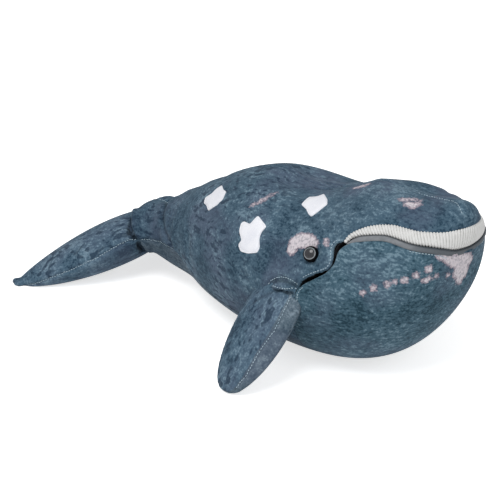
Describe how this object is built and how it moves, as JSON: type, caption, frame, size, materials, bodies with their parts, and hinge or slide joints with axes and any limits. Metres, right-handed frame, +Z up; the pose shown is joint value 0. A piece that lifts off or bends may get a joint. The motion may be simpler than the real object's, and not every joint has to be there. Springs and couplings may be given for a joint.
{
  "type": "plush whale",
  "caption": "Stuffed right whale toy that rests on its belly, with an opening jaw and with flippers, a tail stock and flukes that bend at their seams.",
  "frame": {"origin": "on the floor, under the middle of the toy's bounding box", "axes": "+X towards the snout, +Y towards the toy's left side, +Z up"},
  "size_m": [0.5273, 0.3292, 0.1934],
  "materials": {
    "slate_plush": "short pile, printed",
    "grey_plush": "short pile, printed",
    "black_lining": "matt",
    "ribbed_cloth": "ribbed",
    "lip_piping": "matt",
    "white_patch": "short pile",
    "polyester_fill": "loose fibre",
    "eye_plastic": "polished",
    "washer_plastic": "moulded"
  },
  "bodies": {
    "trunk": {"back_panel_right": "slate_plush", "back_panel_left": "slate_plush", "belly_panel": "grey_plush", "trunk_stuffing": "polyester_fill", "mouth_lining_upper": "black_lining", "baleen_band": "ribbed_cloth", "eye_right": "eye_plastic", "eye_left": "eye_plastic", "eye_washer_right": "washer_plastic", "eye_washer_left": "washer_plastic", "white_patch_rear": "white_patch", "white_patch_middle": "white_patch", "white_patch_front": "white_patch"},
    "jaw": {"jaw_skin": "slate_plush", "jaw_stuffing": "polyester_fill", "mouth_lining_lower": "black_lining", "lip_piping": "lip_piping"},
    "flipper_right": {"flipper_right_upper": "slate_plush", "flipper_right_lower": "slate_plush", "flipper_right_stuffing": "polyester_fill"},
    "flipper_left": {"flipper_left_upper": "slate_plush", "flipper_left_lower": "slate_plush", "flipper_left_stuffing": "polyester_fill"},
    "tail_stock": {"tail_stock_back": "slate_plush", "tail_stock_belly": "grey_plush", "tail_stock_stuffing": "polyester_fill"},
    "flukes": {"fluke_right_upper": "slate_plush", "fluke_right_lower": "grey_plush", "fluke_right_stuffing": "polyester_fill", "fluke_left_upper": "slate_plush", "fluke_left_lower": "grey_plush", "fluke_left_stuffing": "polyester_fill"}
  },
  "joints": [
    {"name": "jaw_open", "type": "hinge", "parent": "trunk", "child": "jaw", "pos_m": [0.1181, 0, 0], "axis": [0, 1, 0], "range_deg": [0, 15], "stiffness_Nm_per_rad": 4},
    {"name": "flipper_right_lift", "type": "hinge", "parent": "trunk", "child": "flipper_right", "pos_m": [0.10984, -0.0969, 0.10204], "axis": [-0.9985, 0.054, 0], "range_deg": [0, 70], "stiffness_Nm_per_rad": 0.3},
    {"name": "flipper_left_lift", "type": "hinge", "parent": "trunk", "child": "flipper_left", "pos_m": [0.10984, 0.0969, 0.10204], "axis": [0.9985, 0.054, 0], "range_deg": [0, 70], "stiffness_Nm_per_rad": 0.3},
    {"name": "tail_sway", "type": "hinge", "parent": "trunk", "child": "tail_stock", "pos_m": [-0.10762, 0, 0.06402], "axis": [0, 0, 1], "range_deg": [-20, 20], "stiffness_Nm_per_rad": 2},
    {"name": "fluke_tilt", "type": "hinge", "parent": "tail_stock", "child": "flukes", "pos_m": [-0.16188, 0, 0.05762], "axis": [0, 1, 0], "range_deg": [-8, 30], "stiffness_Nm_per_rad": 1}
  ]
}
